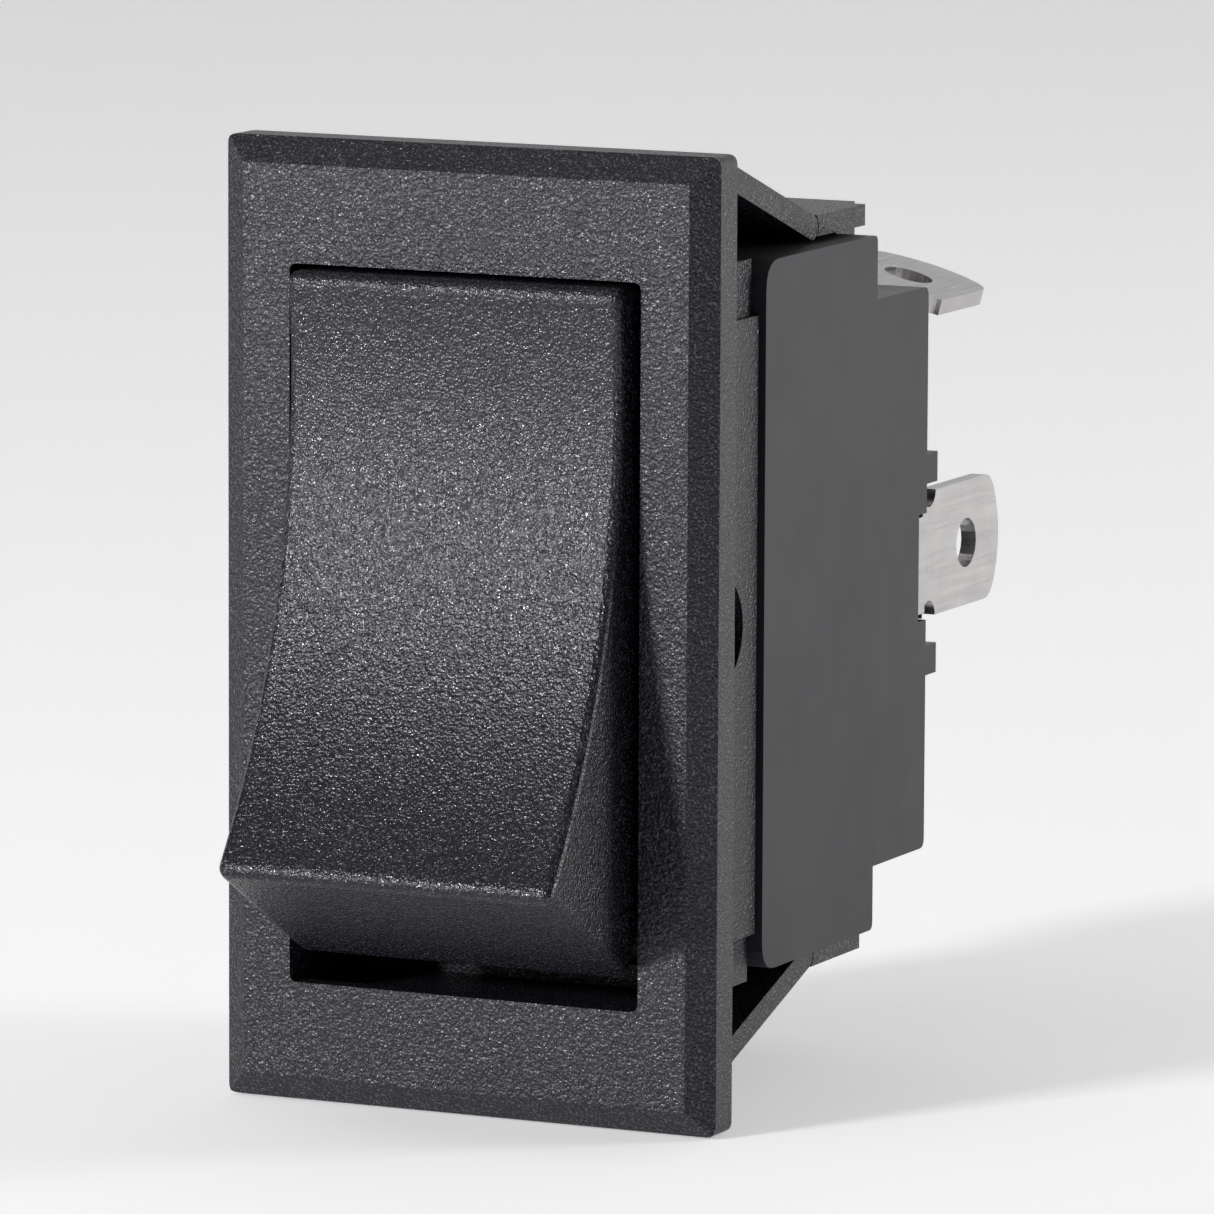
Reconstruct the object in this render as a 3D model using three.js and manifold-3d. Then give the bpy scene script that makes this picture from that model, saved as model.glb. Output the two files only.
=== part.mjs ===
// A snap-in rocker switch for a panel cut-out of 37 x 21 mm, with two 6.3 mm spade terminals.
// Millimetres. X is to the right, Y runs into the panel and Z is up. The origin is the centre of the
// cut-out, on the plane where the bezel rests on the panel, so the rocker faces -Y.
import * as THREE from "three";
import { mergeVertices } from "three/addons/utils/BufferGeometryUtils.js";
import Module from "manifold-3d";

const wasm = await Module();
wasm.setup();

// ---- Driving dimensions ----
const BEZEL = { width: 25.8, height: 46.4, depth: 2.65, chamferWidth: 1.25, chamferDepth: 0.85, corner: 0.5 };
const WINDOW = { halfWidth: 9.2, top: 17.25, bottom: -17.35, lipDepth: 1.05, pocketHalfHeight: 18.0 };
const CAGE = {
  outerX: 10.1, lugX: 9.7, webX: 9.5, wallZ: [-15.3, 14.6], lugZ: [-17.65, 17.3], lipZ: [16.9, 17.2],
  depth: 8.7, endWallDepth: [6.3, 6.8], endWallZ: 18.45,
};
const PIVOT = { y: 4.5, z: -0.1, holeRadius: 2.6, trunnionRadius: 2.4, trunnionX: 9.6 };
const REST_TILT = 14.9; // degrees from the middle position to the top-pressed position
const ROCKER = {
  halfWidth: 8.7, faceRadius: 37.7, faceFront: 9.85, crestZ: 14.35, crestRound: 0.75,
  footFront: 2.9, footZ: 16.95, edgeRound: 0.4, webHalf: 3.4, wall: 1.3,
};
const HOUSING = {
  halfWidth: 10.4, halfHeight: 17.2, frontY: 8.9, shoulderY: 22.1,
  rearHalfHeight: 14.05, rearY: 28.4, wall: 1.2,
};
const PLATE = { outerZ: 18.5, innerZ: 17.45, halfWidth: 9.0, endY: 23.7 };
const HOOK = { frontY: 22.4, endY: 24.7, halfWidth: 8.0, innerZ: 15.6 };
const WING = { rootY: 17.43, rootZ: 17.92, slope: 19.3, length: 10.3, thickness: 1.2, knuckleGap: 0.1 };
const STRAP = { halfWidth: 2.6, innerZ: 17.4, outerZ: 17.8, channelHalf: 3.0, channelLift: 0.2 };
const TAB = {
  width: 6.3, thickness: 0.8, tipRadius: 5.0, tipCorner: 0.6, notchRadius: 0.8, holeRadius: 1.25,
};
const POLE_X = 5; // the one pole fills the right half of the housing
const ARM = {
  frontY: 21.9, thickness: 0.8, gull: 0.22, halfLength: 10.4, halfWidth: 2.1,
  hingeY: 22.75, restTilt: 8,
};
const PLUNGER = { radius: 1.3, back: 7.0, tip: 17.0, boreRadius: 1.55, stemEnd: 9.5, boreBottom: 1.2 };
const SPRING = { meanRadius: 1.02, wire: 0.17, from: 2.0, to: 6.75, turns: 5 };
const CONTACT = { z: 9.5, movingRadius: 1.5, fixedRadius: 1.6, thickness: 1.0 };

const rad = THREE.MathUtils.degToRad;

// ---- Solids ----
// A closed three.js geometry as a solid that can be joined and cut.
function solid(geometry) {
  const bare = new THREE.BufferGeometry();
  const flat = geometry.index ? geometry.toNonIndexed() : geometry;
  bare.setAttribute("position", flat.getAttribute("position"));
  const merged = mergeVertices(bare, 1e-4);
  return new wasm.Manifold(
    new wasm.Mesh({
      numProp: 3,
      vertProperties: merged.attributes.position.array,
      triVerts: new Uint32Array(merged.index.array),
    }),
  );
}

function geometryOf(made) {
  const mesh = made.getMesh();
  const geometry = new THREE.BufferGeometry();
  geometry.setAttribute("position", new THREE.BufferAttribute(mesh.vertProperties, 3));
  geometry.setIndex(new THREE.BufferAttribute(mesh.triVerts, 1));
  const faceted = geometry.toNonIndexed();
  faceted.computeVertexNormals();
  return faceted;
}

const join = (...parts) => parts.reduce((whole, part) => whole.add(part));
const cut = (whole, ...tools) => tools.reduce((left, tool) => left.subtract(tool), whole);

function box([x0, x1], [y0, y1], [z0, z1]) {
  const geometry = new THREE.BoxGeometry(x1 - x0, y1 - y0, z1 - z0);
  geometry.translate((x0 + x1) / 2, (y0 + y1) / 2, (z0 + z1) / 2);
  return solid(geometry);
}

// A shape drawn in (Y, Z), drawn out along X.
function alongX(shape, x0, x1, curveSegments = 12) {
  const geometry = new THREE.ExtrudeGeometry(shape, { depth: x1 - x0, bevelEnabled: false, curveSegments });
  const turn = new THREE.Matrix4().makeBasis(
    new THREE.Vector3(0, 1, 0), new THREE.Vector3(0, 0, 1), new THREE.Vector3(1, 0, 0));
  geometry.applyMatrix4(turn);
  geometry.translate(x0, 0, 0);
  return solid(geometry);
}

// A shape drawn in (X, Z), drawn out along Y.
function alongY(shape, y0, y1, options = {}) {
  const settings = { depth: y1 - y0, bevelEnabled: false, curveSegments: 12, ...options };
  const geometry = new THREE.ExtrudeGeometry(shape, settings);
  geometry.rotateX(Math.PI / 2);
  geometry.translate(0, y1, 0);
  return solid(geometry);
}

function rodAlongX(y, z, radius, x0, x1, segments = 32) {
  const geometry = new THREE.CylinderGeometry(radius, radius, x1 - x0, segments);
  geometry.rotateZ(Math.PI / 2);
  geometry.translate((x0 + x1) / 2, y, z);
  return solid(geometry);
}

function rodAlongY(x, z, radius, y0, y1, segments = 24) {
  const geometry = new THREE.CylinderGeometry(radius, radius, y1 - y0, segments);
  geometry.translate(x, (y0 + y1) / 2, z);
  return solid(geometry);
}

const polygon = (points) => new THREE.Shape(points.map(([a, b]) => new THREE.Vector2(a, b)));

// A polygon whose corners are rounded, each with its own radius: [a, b, radius].
function rounded(corners) {
  const shape = new THREE.Shape();
  corners.forEach(([a, b, radius], i) => {
    const corner = new THREE.Vector2(a, b);
    const before = new THREE.Vector2(...corners.at(i - 1).slice(0, 2));
    const after = new THREE.Vector2(...corners[(i + 1) % corners.length].slice(0, 2));
    const start = corner.clone().add(before.sub(corner).setLength(radius || 1e-9));
    const end = corner.clone().add(after.sub(corner).setLength(radius || 1e-9));
    if (!radius) {
      if (i) shape.lineTo(a, b);
      else shape.moveTo(a, b);
      return;
    }
    if (i) shape.lineTo(start.x, start.y);
    else shape.moveTo(start.x, start.y);
    shape.quadraticCurveTo(a, b, end.x, end.y);
  });
  shape.closePath();
  return shape;
}

const rectangle = ([a0, a1], [b0, b1], radius) =>
  rounded([[a0, b0, radius], [a1, b0, radius], [a1, b1, radius], [a0, b1, radius]]);

const bothWays = (half) => [-half, half];

// The same solid at the bottom of the switch as at the top.
const flipZ = (made) => made.mirror([0, 0, 1]);

// ---- Bezel frame: the bezel, the cage that carries the rocker, and the latch plates ----
function bezelPlate() {
  const { width, height, depth, chamferWidth, chamferDepth, corner } = BEZEL;
  const rim = rectangle(bothWays(width / 2), bothWays(height / 2), corner);
  const outline = alongY(rim, -depth, 0, { curveSegments: 4 });
  const face = rectangle(bothWays(width / 2 - chamferWidth), bothWays(height / 2 - chamferWidth), 0);
  const chamfered = alongY(face, -depth + chamferDepth, depth,
    { bevelEnabled: true, bevelThickness: chamferDepth, bevelSize: chamferWidth, bevelSegments: 1 });
  return outline.intersect(chamfered);
}

function sideWall(side) {
  const spans = (a, b) => (side > 0 ? [a, b] : [-b, -a]);
  const wall = box(spans(WINDOW.halfWidth, CAGE.outerX), [-1, CAGE.depth], CAGE.wallZ);
  const lugs = box(spans(WINDOW.halfWidth, CAGE.lugX), [-1, CAGE.depth], CAGE.lugZ);
  const web = box(
    spans(WINDOW.halfWidth, CAGE.webX), [-1, CAGE.endWallDepth[1]], bothWays(CAGE.endWallZ));
  const bore = rodAlongX(PIVOT.y, PIVOT.z, PIVOT.holeRadius, ...spans(WINDOW.halfWidth - 1, CAGE.outerX + 1));
  return cut(join(wall, lugs, web), bore);
}

function upperLatch() {
  const across = bothWays(CAGE.webX);
  const [stepY, wallEndY] = CAGE.endWallDepth;
  const endWall = join(
    box(across, [-1, wallEndY], [WINDOW.pocketHalfHeight, CAGE.endWallZ]),
    box(across, [stepY, wallEndY], [CAGE.lipZ[0], CAGE.endWallZ]),
    box(across, [stepY, CAGE.depth], CAGE.lipZ));
  const plate = box(bothWays(PLATE.halfWidth), [WING.rootY, PLATE.endY], [PLATE.innerZ, PLATE.outerZ]);
  const seatRadius = WING.thickness / 2 + WING.knuckleGap;
  const seat = rodAlongX(
    WING.rootY, WING.rootZ, seatRadius, -PLATE.halfWidth - 1, PLATE.halfWidth + 1, 48);
  const hook = box(bothWays(HOOK.halfWidth), [HOOK.frontY, HOOK.endY], [HOOK.innerZ, PLATE.outerZ]);
  const strap = box(bothWays(STRAP.halfWidth), [stepY, WING.rootY + 2], [STRAP.innerZ, STRAP.outerZ]);
  return join(cut(plate, seat), hook, strap, endWall);
}

function bezelFrame() {
  const { halfWidth, top, bottom, lipDepth, pocketHalfHeight } = WINDOW;
  const outline = rectangle(bothWays(halfWidth), [bottom, top], 0.4);
  const window = alongY(outline, -BEZEL.depth - 1, 1, { curveSegments: 3 });
  const pocket = box(bothWays(halfWidth), [-BEZEL.depth + lipDepth, 1], bothWays(pocketHalfHeight));
  const latches = join(upperLatch(), flipZ(upperLatch()));
  return join(cut(join(bezelPlate(), sideWall(1), sideWall(-1), latches), window, pocket));
}

// ---- Snap wings: cantilevers that fold flat as the switch is pushed into its cut-out ----
function snapWing() {
  const half = WING.thickness / 2;
  const profile = new THREE.Shape();
  profile.moveTo(0, -half);
  profile.absarc(0, 0, half, -Math.PI / 2, Math.PI / 2, false);
  profile.lineTo(-WING.length + 0.5, half);
  profile.lineTo(-WING.length, half - 0.5);
  profile.lineTo(-WING.length, -half);
  profile.closePath();
  const wing = alongX(profile, -PLATE.halfWidth, PLATE.halfWidth);
  const channel = box(bothWays(STRAP.channelHalf), [-WING.length - 1, 2], [-2, STRAP.channelLift]);
  return cut(wing, channel);
}

// ---- Rocker ----
// The side outline: a hollow face between two rounded crests, sloping ends, and a back that narrows
// to the web.
function rockerProfile() {
  const { faceRadius, faceFront, crestZ, crestRound, footFront, footZ } = ROCKER;
  const centre = -(faceFront + faceRadius);
  const sweep = Math.asin((crestZ - crestRound) / faceRadius);
  const crest = new THREE.Vector2(centre + Math.sqrt(faceRadius ** 2 - crestZ ** 2), crestZ);
  const foot = new THREE.Vector2(-footFront, footZ);
  const below = crest.clone().add(foot.clone().sub(crest).setLength(crestRound));
  const shape = new THREE.Shape();
  shape.absarc(centre, 0, faceRadius, -sweep, sweep, false);
  shape.quadraticCurveTo(crest.x, crest.y, below.x, below.y);
  [[foot.x, foot.y], [-2.6, 15.9], [2.6, 3.2], [3.2, 2.4], [3.2, -2.4], [2.6, -3.2], [-2.6, -15.9],
    [foot.x, -foot.y], [below.x, -below.y]].forEach(([y, z]) => shape.lineTo(y, z));
  const faceEnd = new THREE.Vector2(faceRadius, 0).rotateAround(new THREE.Vector2(), -sweep);
  shape.quadraticCurveTo(crest.x, -crest.y, centre + faceEnd.x, faceEnd.y);
  const outline = shape.getPoints(20);
  return new THREE.Shape(outline.filter((point, i) => point.distanceTo(outline.at(i - 1)) > 0.01));
}

// The rocker's body, with its long edges rounded by the bevel at each side.
function rockerBody() {
  const { halfWidth, edgeRound } = ROCKER;
  const geometry = new THREE.ExtrudeGeometry(rockerProfile(), {
    depth: 2 * (halfWidth - edgeRound), curveSegments: 20, bevelEnabled: true, bevelSegments: 3,
    bevelThickness: edgeRound, bevelSize: edgeRound, bevelOffset: -edgeRound,
  });
  geometry.applyMatrix4(new THREE.Matrix4().makeBasis(
    new THREE.Vector3(0, 1, 0), new THREE.Vector3(0, 0, 1), new THREE.Vector3(1, 0, 0)));
  geometry.translate(-(halfWidth - edgeRound), 0, 0);
  return solid(geometry);
}

function rocker() {
  const { halfWidth, wall, webHalf } = ROCKER;
  const pocket = alongX(
    polygon([[-8.0, webHalf], [6, webHalf], [6, 15.3], [-3.9, 15.3], [-10.2, 13.4], [-9.0, 9.2]]),
    -halfWidth + wall, halfWidth - wall);
  const trunnions = rodAlongX(0, 0, PIVOT.trunnionRadius, -PIVOT.trunnionX, PIVOT.trunnionX);
  const stem = box([POLE_X - 2.1, POLE_X + 2.1], [0, PLUNGER.stemEnd], [-2.1, 2.1]);
  const bore = rodAlongY(POLE_X, 0, PLUNGER.boreRadius, PLUNGER.boreBottom, PLUNGER.stemEnd + 1);
  return cut(join(rockerBody(), trunnions, stem), pocket, flipZ(pocket), bore);
}

// A round pin with a domed tip, turned about its own length.
function plunger() {
  const { radius, back, tip } = PLUNGER;
  const profile = [new THREE.Vector2(0, back), new THREE.Vector2(radius, back)];
  for (let i = 0; i <= 6; i++) {
    const angle = (i / 6) * (Math.PI / 2);
    profile.push(new THREE.Vector2(radius * Math.cos(angle), tip - radius + radius * Math.sin(angle)));
  }
  profile.at(-1).x = 0;
  return solid(new THREE.LatheGeometry(profile, 24));
}

class Helix extends THREE.Curve {
  getPoint(t, target = new THREE.Vector3()) {
    const angle = t * SPRING.turns * 2 * Math.PI;
    const along = THREE.MathUtils.lerp(SPRING.from + SPRING.wire, SPRING.to - SPRING.wire, t);
    return target.set(SPRING.meanRadius * Math.cos(angle), along, SPRING.meanRadius * Math.sin(angle));
  }
}

function plungerSpring() {
  const wire = new THREE.Shape();
  for (let i = 0; i < 6; i++) {
    const angle = (i / 6) * 2 * Math.PI;
    const point = [SPRING.wire * Math.cos(angle), SPRING.wire * Math.sin(angle)];
    if (i) wire.lineTo(...point);
    else wire.moveTo(...point);
  }
  wire.closePath();
  const settings = { steps: SPRING.turns * 12, extrudePath: new Helix(), bevelEnabled: false };
  return solid(new THREE.ExtrudeGeometry(wire, settings));
}

// ---- Rear housing: an open-fronted box with a stepped back ----
function rearHousing() {
  const { halfWidth, halfHeight, frontY, shoulderY, rearHalfHeight, rearY, wall } = HOUSING;
  const profile = rounded([
    [frontY, -halfHeight, 1.5], [shoulderY, -halfHeight, 0.4], [shoulderY, -rearHalfHeight, 0],
    [rearY, -rearHalfHeight, 0.5], [rearY, rearHalfHeight, 0.5], [shoulderY, rearHalfHeight, 0],
    [shoulderY, halfHeight, 0.4], [frontY, halfHeight, 1.5],
  ]);
  const shell = alongX(profile, -halfWidth, halfWidth, 5);
  const inner = halfWidth - wall;
  const frontRoom = box(bothWays(inner), [frontY - 1, shoulderY - wall], bothWays(halfHeight - wall));
  const rearRoom = box(bothWays(inner), [shoulderY - 2, rearY - wall], bothWays(rearHalfHeight - wall));
  const partition = join(
    box([-0.5, 0.5], [12, shoulderY - wall / 2], bothWays(halfHeight - wall / 2)),
    box([-0.5, 0.5], [12, rearY - wall / 2], bothWays(rearHalfHeight - wall / 2)));
  const armStop = box([POLE_X - 2, POLE_X + 2], [22.25, rearY - wall / 2], [-10.6, -8.6]);
  const ribs = [[4.2, 5.7], [-5.4, -3.9]].map((span) =>
    box(bothWays(halfWidth), [rearY - 0.5, rearY + 1.3], span));
  const loadSlot = box([5.4, inner], [23.9, rearY + 1], [rearHalfHeight - 2, 13.55]);
  const commonPocket = box([inner - 0.2, 10.15], [26.1, rearY + 2], [-2.6, 2.75]);
  const commonNotch = box([inner - 0.2, halfWidth + 1], [rearY - 0.95, rearY + 2], [-2.6, 2.75]);
  const filled = join(cut(shell, frontRoom, rearRoom), partition, armStop, ...ribs);
  return cut(filled, loadSlot, commonPocket, commonNotch);
}

// ---- Terminals ----
// A 6.3 mm spade in (across, along), from its notched root to its curved tip, with its hole.
function spadeShape(root, tip, holeAt) {
  const half = TAB.width / 2;
  const { tipRadius, tipCorner } = TAB;
  const shoulder = tip - tipRadius + Math.sqrt(tipRadius ** 2 - half ** 2);
  const sweep = Math.asin((half - tipCorner) / tipRadius);
  const arcEnd = tip - tipRadius + tipRadius * Math.cos(sweep);
  const notchAt = root + TAB.notchRadius;
  const shape = new THREE.Shape();
  shape.moveTo(-half, root);
  shape.lineTo(half, root);
  shape.absarc(half, notchAt, TAB.notchRadius, -Math.PI / 2, Math.PI / 2, true);
  shape.lineTo(half, shoulder - tipCorner);
  shape.quadraticCurveTo(half, shoulder, half - tipCorner, arcEnd);
  shape.absarc(0, tip - tipRadius, tipRadius, Math.PI / 2 - sweep, Math.PI / 2 + sweep, false);
  shape.quadraticCurveTo(-half, shoulder, -half, shoulder - tipCorner);
  shape.absarc(-half, notchAt, TAB.notchRadius, Math.PI / 2, (3 * Math.PI) / 2, true);
  shape.closePath();
  const hole = new THREE.Path();
  hole.absarc(0, holeAt, TAB.holeRadius, 0, 2 * Math.PI, true);
  shape.holes.push(hole);
  return shape;
}

// A spade lying in the XY plane, centred on Z = 0.
function spade(root, tip, holeAt) {
  const options = { depth: TAB.thickness, bevelEnabled: false, curveSegments: 10 };
  const geometry = new THREE.ExtrudeGeometry(spadeShape(root, tip, holeAt), options);
  geometry.translate(0, 0, -TAB.thickness / 2);
  return geometry;
}

const COMMON = {
  x: 9.7, z: 0.55, tip: 38.2, hole: 34.1, root: 28.6, neck: [-2.35, 2.5], baseY: [26.3, 27.1],
};
const LOAD = {
  x: 7.15, z: 13.6, turn: 15.2, tip: 37.1, hole: 33.1, root: 28.7, neckZ: 13.0, legY: [24.1, 24.9],
};

function commonTerminal() {
  const blade = spade(COMMON.root, COMMON.tip, COMMON.hole);
  blade.rotateY(Math.PI / 2);
  blade.translate(COMMON.x, 0, COMMON.z);
  const half = TAB.thickness / 2;
  const neck = box([COMMON.x - half, COMMON.x + half], [COMMON.baseY[0], COMMON.root + 0.3], COMMON.neck);
  const base = box([2.6, COMMON.x + half], COMMON.baseY, COMMON.neck);
  return join(solid(blade), neck, base);
}

function loadTerminal() {
  const blade = spade(LOAD.root, LOAD.tip, LOAD.hole);
  blade.rotateY(rad(LOAD.turn));
  blade.translate(LOAD.x, 0, LOAD.z);
  const half = TAB.thickness / 2;
  const neck = box([5.6, 9.0], [LOAD.legY[0], LOAD.root + 0.6], [LOAD.neckZ - half, LOAD.neckZ + half]);
  const leg = box([3.4, 9.0], LOAD.legY, [7.8, LOAD.neckZ - 0.7]);
  const bend = box([5.6, 9.0], LOAD.legY, [LOAD.neckZ - 1.5, LOAD.neckZ + half]);
  return join(solid(blade), neck, leg, bend);
}

// ---- Contact mechanism ----
function fulcrumCradle() {
  const block = box([POLE_X - 3, POLE_X + 3], [23.05, 26.2], [-1.3, 1.3]);
  const ears = [-1, 1].map((side) =>
    box([POLE_X + side * 2.7 - 0.3, POLE_X + side * 2.7 + 0.3], [20.9, 23.5], [-1.3, 1.3]));
  return join(block, ...ears);
}

// The see-saw arm about its fulcrum, as a gull wing whose ends stand forward of its middle.
function contactArm() {
  const { frontY, thickness, gull, halfLength, halfWidth, hingeY } = ARM;
  const front = frontY - hingeY;
  const rise = gull * halfLength;
  const profile = polygon([
    [front - rise, -halfLength], [front - rise + thickness, -halfLength], [front + thickness, 0],
    [front - rise + thickness, halfLength], [front - rise, halfLength], [front, 0],
  ]);
  return alongX(profile, POLE_X - halfWidth, POLE_X + halfWidth);
}

function movingContact() {
  const face = ARM.frontY - ARM.hingeY + ARM.thickness - ARM.gull * CONTACT.z + 0.4;
  return rodAlongY(POLE_X, CONTACT.z, CONTACT.movingRadius, face, face + CONTACT.thickness - 0.35);
}

const fixedContact = () => rodAlongY(POLE_X, CONTACT.z, CONTACT.fixedRadius, 23.35, 24.0);

// ---- Scene graph ----
const BLACK_GRAIN = { color: 0x1b1b1d, roughness: 0.62, metalness: 0 };
const GREY_GLOSS = { color: 0x2b2b2e, roughness: 0.32, metalness: 0 };
const NICKEL = { color: 0xb9b6af, roughness: 0.35, metalness: 1 };
const BRASS = { color: 0xb08d4f, roughness: 0.4, metalness: 1 };
const SILVER = { color: 0xd8d8da, roughness: 0.3, metalness: 1 };
const STEEL = { color: 0x9a9ca0, roughness: 0.35, metalness: 1 };
const CREAM = { color: 0xcfcabd, roughness: 0.5, metalness: 0 };

function addPiece(parent, name, made, look) {
  const mesh = new THREE.Mesh(geometryOf(made), new THREE.MeshStandardMaterial(look));
  mesh.name = name;
  parent.add(mesh);
  return mesh;
}

const rockerSwitch = new THREE.Group();
addPiece(rockerSwitch, "bezel_frame", bezelFrame(), BLACK_GRAIN);
addPiece(rockerSwitch, "rear_housing", rearHousing(), GREY_GLOSS);
addPiece(rockerSwitch, "common_terminal", commonTerminal(), NICKEL);
addPiece(rockerSwitch, "load_terminal", loadTerminal(), NICKEL);
addPiece(rockerSwitch, "fulcrum_cradle", fulcrumCradle(), BRASS);
addPiece(rockerSwitch, "fixed_contact", fixedContact(), SILVER);

for (const side of [1, -1]) {
  const root = new THREE.Group();
  root.position.set(0, WING.rootY, side * WING.rootZ);
  root.rotation.x = -side * rad(WING.slope);
  rockerSwitch.add(root);
  const wing = side > 0 ? snapWing() : flipZ(snapWing());
  addPiece(root, side > 0 ? "upper_snap_wing" : "lower_snap_wing", wing, BLACK_GRAIN);
}

const rockerPivot = new THREE.Group();
rockerPivot.position.set(0, PIVOT.y, PIVOT.z);
rockerPivot.rotation.x = -rad(REST_TILT);
rockerSwitch.add(rockerPivot);
addPiece(rockerPivot, "rocker", rocker(), BLACK_GRAIN);
for (const [name, made, look] of [["plunger", plunger(), CREAM], ["plunger_spring", plungerSpring(), STEEL]])
  addPiece(rockerPivot, name, made, look).position.x = POLE_X;

const armPivot = new THREE.Group();
armPivot.position.y = ARM.hingeY;
armPivot.rotation.x = rad(ARM.restTilt);
rockerSwitch.add(armPivot);
addPiece(armPivot, "contact_arm", contactArm(), BRASS);
addPiece(armPivot, "moving_contact", movingContact(), SILVER);

export default rockerSwitch;
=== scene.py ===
"""A snap-in rocker switch: camera, light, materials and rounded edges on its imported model."""

import math

import bmesh
import bpy
from mathutils import Matrix, Vector


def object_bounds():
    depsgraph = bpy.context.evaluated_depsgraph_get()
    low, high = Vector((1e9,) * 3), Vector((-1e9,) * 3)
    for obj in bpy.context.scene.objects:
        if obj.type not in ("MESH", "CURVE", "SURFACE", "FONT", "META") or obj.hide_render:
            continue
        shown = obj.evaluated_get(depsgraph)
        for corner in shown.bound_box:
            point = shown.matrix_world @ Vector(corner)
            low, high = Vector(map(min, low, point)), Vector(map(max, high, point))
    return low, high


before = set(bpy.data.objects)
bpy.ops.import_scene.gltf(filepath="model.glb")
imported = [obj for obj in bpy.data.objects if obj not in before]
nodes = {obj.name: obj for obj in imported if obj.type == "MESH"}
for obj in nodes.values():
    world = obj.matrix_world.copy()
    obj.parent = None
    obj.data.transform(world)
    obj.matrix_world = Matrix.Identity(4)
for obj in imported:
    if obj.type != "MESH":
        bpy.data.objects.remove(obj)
cad_box = [list(corner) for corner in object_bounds()]
scene = bpy.context.scene
MM = 0.001

# ---- Camera: a long lens from the front right, slightly above ----
YAW, PITCH, ROLL = math.radians(25.204), math.radians(8.266), math.radians(0.254)
FOCAL_LENGTH = 295.6
SENSOR_WIDTH = 36
CAMERA_PLACE = Vector((0.20459, -0.42137, 0.06910))

# ---- Light: what the area lights point at, and the strengths around them ----
LIGHT_TARGET = Vector((0, 0.005, 0))
WORLD_STRENGTH = 0.10
FLOOR_GLOW = 0.36

# ---- Surfaces, in metres and radians ----
GRAIN, RELIEF = 0.00013, 0.00006
SHARP_ANGLE = math.radians(28)
FLAT_ANGLE = math.radians(0.5)


def make_camera():
    forward = Vector((-math.sin(YAW) * math.cos(PITCH), math.cos(YAW) * math.cos(PITCH), -math.sin(PITCH)))
    level_right = Vector((math.cos(YAW), math.sin(YAW), 0))
    level_up = level_right.cross(forward)
    right = level_right * math.cos(ROLL) + level_up * math.sin(ROLL)
    up = level_up * math.cos(ROLL) - level_right * math.sin(ROLL)
    data = bpy.data.cameras.new("camera")
    data.lens = FOCAL_LENGTH
    data.sensor_width = SENSOR_WIDTH
    data.clip_start = 0.01
    camera = bpy.data.objects.new("camera", data)
    turn = Matrix((right, up, -forward)).transposed().to_4x4()
    camera.matrix_world = Matrix.Translation(CAMERA_PLACE) @ turn
    scene.collection.objects.link(camera)
    scene.camera = camera


# ---- Light and floor ----
def area_light(name, direction, distance, size, power, colour=(1, 1, 1)):
    data = bpy.data.lights.new(name, "AREA")
    data.shape = "RECTANGLE"
    data.size, data.size_y = size
    data.energy = power
    data.color = colour
    light = bpy.data.objects.new(name, data)
    way = Vector(direction).normalized()
    light.location = LIGHT_TARGET + way * distance
    light.rotation_euler = way.to_track_quat("Z", "Y").to_euler()
    scene.collection.objects.link(light)


def make_light():
    area_light("key", (-0.44, -0.86, 0.25), 0.60, (0.10, 0.045), 3.0, (0.96, 0.97, 1.0))
    area_light("key_soft", (-0.60, -0.70, 0.10), 0.80, (0.5, 0.5), 0.3)
    area_light("fill_top", (-0.25, -0.30, 0.92), 0.70, (0.5, 0.3), 0.5)
    area_light("side", (0.80, 0.58, 0.08), 0.60, (0.14, 0.5), 2.6)
    world = bpy.data.worlds.new("studio")
    scene.world = world
    world.use_nodes = True
    background = world.node_tree.nodes["Background"]
    background.inputs["Color"].default_value = (1.0, 1.0, 1.0, 1)
    background.inputs["Strength"].default_value = WORLD_STRENGTH
    scene.view_settings.view_transform = "Standard"


def make_floor():
    """A pale floor that sweeps up into a backdrop behind the switch."""
    low = cad_box[0][2] - 0.0001
    radius, depth, half, height, steps = 0.5, 1.2, 6.0, 4.0, 16
    profile = [(-3.0, low), (depth, low)]
    for i in range(1, steps + 1):
        turn = i / steps * math.pi / 2
        profile.append((depth + radius * math.sin(turn), low + radius * (1 - math.cos(turn))))
    profile.append((depth + radius, low + height))
    mesh = bpy.data.meshes.new("floor")
    made = bmesh.new()
    rows = [[made.verts.new((side * half, y, z)) for side in (-1, 1)] for y, z in profile]
    for a, b in zip(rows, rows[1:]):
        made.faces.new((a[0], a[1], b[1], b[0]))
    made.to_mesh(mesh)
    made.free()
    mesh.shade_smooth()
    floor = bpy.data.objects.new("floor", mesh)
    scene.collection.objects.link(floor)
    paper = Material("pale_paper", (0.86, 0.86, 0.86), 0.9)
    paper.shader.inputs["Specular IOR Level"].default_value = 0.1
    paper.shader.inputs["Emission Color"].default_value = (1, 1, 1, 1)
    paper.shader.inputs["Emission Strength"].default_value = FLOOR_GLOW
    mesh.materials.append(paper.made)


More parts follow.
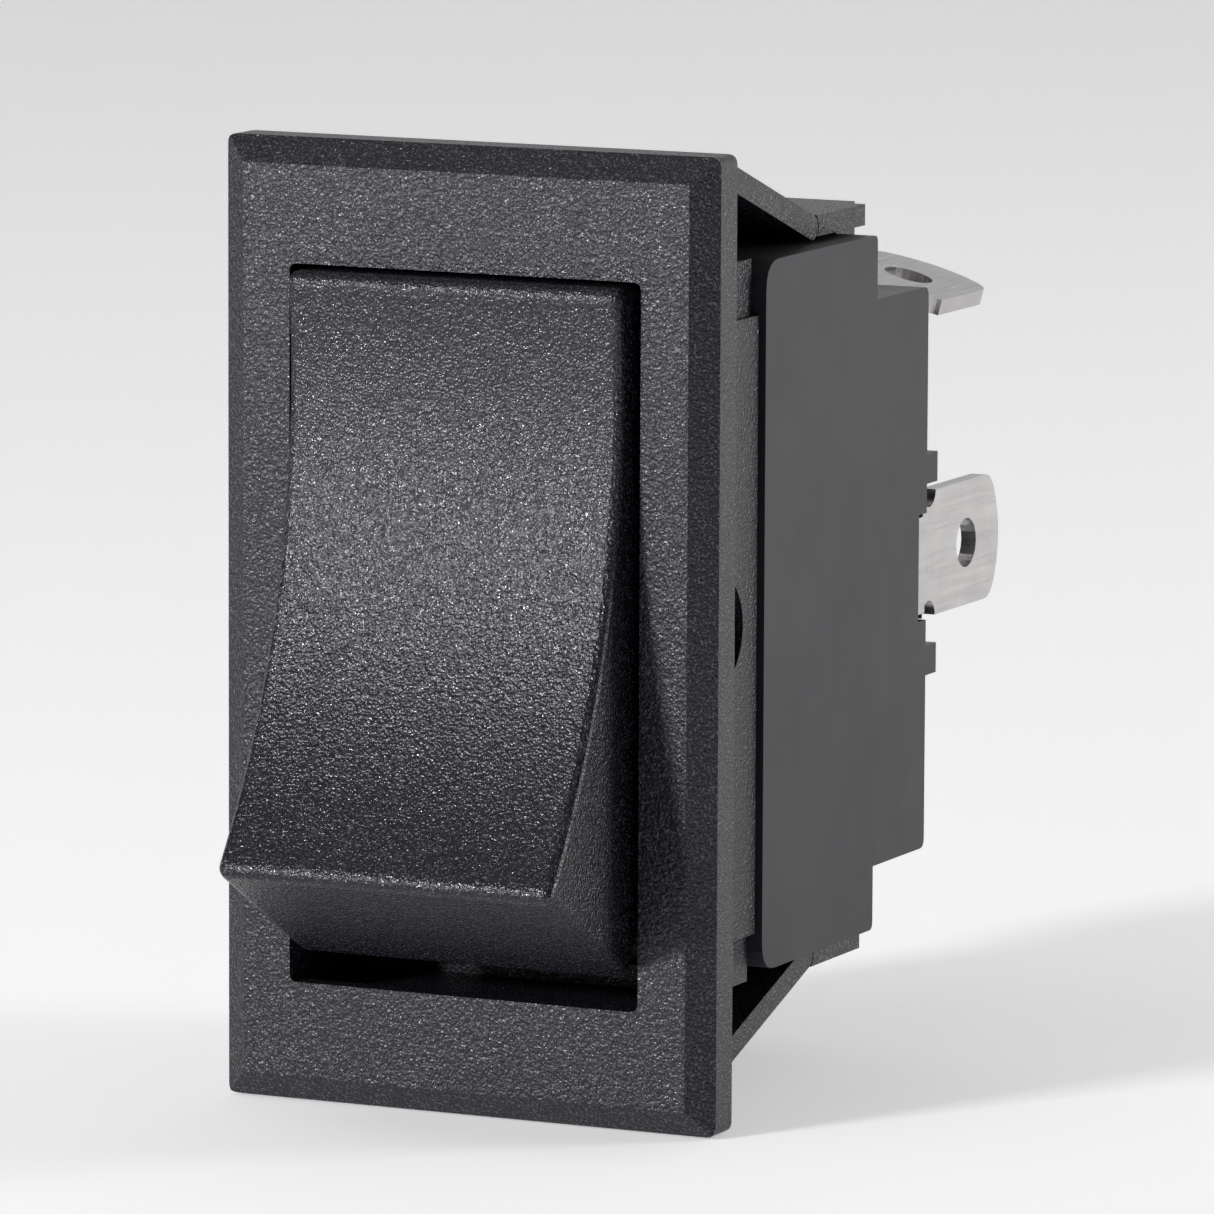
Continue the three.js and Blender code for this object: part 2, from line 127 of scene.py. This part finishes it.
# ---- Materials ----
class Material:
    """A node material whose texture nodes all run on the object's own coordinates, in metres."""

    def __init__(self, name, colour, roughness, metallic=0.0):
        self.made = bpy.data.materials.new(name)
        self.made.use_nodes = True
        self.tree = self.made.node_tree
        self.shader = self.tree.nodes["Principled BSDF"]
        self.shader.inputs["Base Color"].default_value = (*colour, 1)
        self.shader.inputs["Roughness"].default_value = roughness
        self.shader.inputs["Metallic"].default_value = metallic
        self.place = self.tree.nodes.new("ShaderNodeTexCoord").outputs["Object"]

    def stretched(self, scale):
        mapping = self.tree.nodes.new("ShaderNodeMapping")
        mapping.inputs["Scale"].default_value = scale
        self.tree.links.new(self.place, mapping.inputs["Vector"])
        return mapping.outputs["Vector"]

    def noise(self, size, detail=2.0, rough=0.5, stretch=None):
        node = self.tree.nodes.new("ShaderNodeTexNoise")
        node.inputs["Scale"].default_value = 1 / size
        node.inputs["Detail"].default_value = detail
        node.inputs["Roughness"].default_value = rough
        self.tree.links.new(self.stretched(stretch) if stretch else self.place, node.inputs["Vector"])
        return node.outputs["Fac"]

    def ramp(self, value, low, high, start, end):
        """value, spread so that low gives start and high gives end."""
        node = self.tree.nodes.new("ShaderNodeMapRange")
        for socket, number in (("From Min", low), ("From Max", high), ("To Min", start), ("To Max", end)):
            node.inputs[socket].default_value = number
        self.tree.links.new(value, node.inputs["Value"])
        return node.outputs["Result"]

    def tint(self, value, dark, light):
        node = self.tree.nodes.new("ShaderNodeMix")
        node.data_type = "RGBA"
        node.inputs["A"].default_value = (*dark, 1)
        node.inputs["B"].default_value = (*light, 1)
        self.tree.links.new(value, node.inputs["Factor"])
        self.tree.links.new(node.outputs["Result"], self.shader.inputs["Base Color"])

    def roughen(self, value):
        self.tree.links.new(value, self.shader.inputs["Roughness"])

    def bump(self, height, distance, under=None):
        node = self.tree.nodes.new("ShaderNodeBump")
        node.inputs["Distance"].default_value = distance
        node.inputs["Strength"].default_value = 1.0
        self.tree.links.new(height, node.inputs["Height"])
        if under:
            self.tree.links.new(under, node.inputs["Normal"])
        self.tree.links.new(node.outputs["Normal"], self.shader.inputs["Normal"])
        return node.outputs["Normal"]


def grained_plastic(name, dark, light, roughness):
    """Black plastic from a spark-eroded mould: a pebbled grain with shinier specks, whose lighter base
    colour is a painted glint.
    """
    made = Material(name, dark, roughness)
    coarse = made.noise(GRAIN * 2.0, detail=0.0)
    fine = made.noise(GRAIN, detail=1.0)
    glint_specks = made.noise(GRAIN * 0.8, detail=0.0)
    made.shader.inputs["Specular IOR Level"].default_value = 0.42
    # painted glint: the specks get a lighter base colour; their lower roughness on the next line is real
    # shine
    made.tint(made.ramp(glint_specks, 0.58, 0.74, 0, 1), dark, light)
    made.roughen(made.ramp(glint_specks, 0.45, 0.72, roughness, roughness - 0.20))
    under = made.bump(coarse, RELIEF * 0.5)
    made.bump(fine, RELIEF, under)
    return made.made


def smooth_plastic():
    """Smooth dark plastic with the faint waviness and flow of an injection moulding."""
    dark, light = (0.022, 0.021, 0.026), (0.028, 0.027, 0.032)
    made = Material("housing_plastic", dark, 0.38)
    made.shader.inputs["Specular IOR Level"].default_value = 0.28
    patches = made.ramp(made.noise(0.012, detail=3.0), 0.3, 0.7, 0, 1)
    made.tint(patches, dark, light)
    made.roughen(made.ramp(made.noise(0.004), 0.3, 0.7, 0.34, 0.42))
    under = made.bump(made.noise(0.006, detail=1.0), 0.00002)
    made.bump(made.noise(0.00012, detail=1.0), 0.000002, under)
    return made.made


def terminal_metal():
    """Tin-plated sheet, brushed along Y, with a slightly mottled plating."""
    dark, light = (0.46, 0.447, 0.443), (0.51, 0.496, 0.49)
    made = Material("terminal_metal", dark, 0.33, 1.0)
    patches = made.ramp(made.noise(0.0015, detail=3.0), 0.3, 0.7, 0, 1)
    made.tint(patches, dark, light)
    brushed = made.noise(0.0002, detail=2.0, stretch=(1, 0.05, 1))
    made.roughen(made.ramp(brushed, 0.3, 0.7, 0.26, 0.42))
    made.bump(brushed, 0.000004)
    return made.made


def plain_metal(name, colour, roughness):
    made = Material(name, colour, roughness, 1.0)
    made.roughen(made.ramp(made.noise(0.0008, detail=3.0), 0.3, 0.7, roughness - 0.08, roughness + 0.1))
    made.bump(made.noise(0.0003), 0.000006)
    return made.made


def nylon():
    made = Material("plunger_plastic", (0.78, 0.74, 0.64), 0.45)
    made.shader.inputs["Subsurface Weight"].default_value = 0.15
    made.shader.inputs["Subsurface Scale"].default_value = 0.001
    made.bump(made.noise(0.0006), 0.000008)
    return made.made


# ---- Edges: every moulded or stamped edge is slightly round ----
def round_edges(node, width, segments=3):
    piece = nodes[node]
    flatten = piece.modifiers.new("merge_flat_faces", "DECIMATE")
    flatten.decimate_type = "DISSOLVE"
    flatten.angle_limit = FLAT_ANGLE
    bevel = piece.modifiers.new("round_edges", "BEVEL")
    bevel.width = width
    bevel.segments = segments
    bevel.limit_method = "ANGLE"
    bevel.angle_limit = SHARP_ANGLE
    bevel.use_clamp_overlap = True
    piece.data.shade_smooth()
    piece.data.set_sharp_from_angle(angle=SHARP_ANGLE)
    normals = piece.modifiers.new("flat_face_normals", "WEIGHTED_NORMAL")
    normals.keep_sharp = True
    return piece


def dress(node, material, width, segments=3):
    piece = round_edges(node, width, segments)
    piece.data.materials.clear()
    piece.data.materials.append(material)


make_camera()
make_light()
make_floor()

# the second colour of each grained plastic is the painted glint of its specks, not a colour of the plastic
frame_grain = grained_plastic("grained_plastic", (0.005, 0.005, 0.008), (0.062, 0.060, 0.078), 0.43)
rocker_grain = grained_plastic("rocker_plastic", (0.004, 0.004, 0.007), (0.062, 0.060, 0.078), 0.33)
housing_smooth = smooth_plastic()
tin = terminal_metal()
brass = plain_metal("brass", (0.69, 0.52, 0.28), 0.32)
silver = plain_metal("silver_contact", (0.86, 0.86, 0.87), 0.25)
spring_steel = plain_metal("spring_steel", (0.55, 0.56, 0.58), 0.28)

dress("bezel_frame", frame_grain, 0.12 * MM)
for wing in ("upper_snap_wing", "lower_snap_wing"):
    dress(wing, frame_grain, 0.10 * MM)
dress("rocker", rocker_grain, 0.06 * MM, 2)
dress("rear_housing", housing_smooth, 0.12 * MM)
for tab in ("common_terminal", "load_terminal"):
    dress(tab, tin, 0.14 * MM)
for piece in ("fulcrum_cradle", "contact_arm"):
    dress(piece, brass, 0.08 * MM)
for piece in ("moving_contact", "fixed_contact"):
    dress(piece, silver, 0.15 * MM)
dress("plunger", nylon(), 0.08 * MM)
dress("plunger_spring", spring_steel, 0.01 * MM, 1)
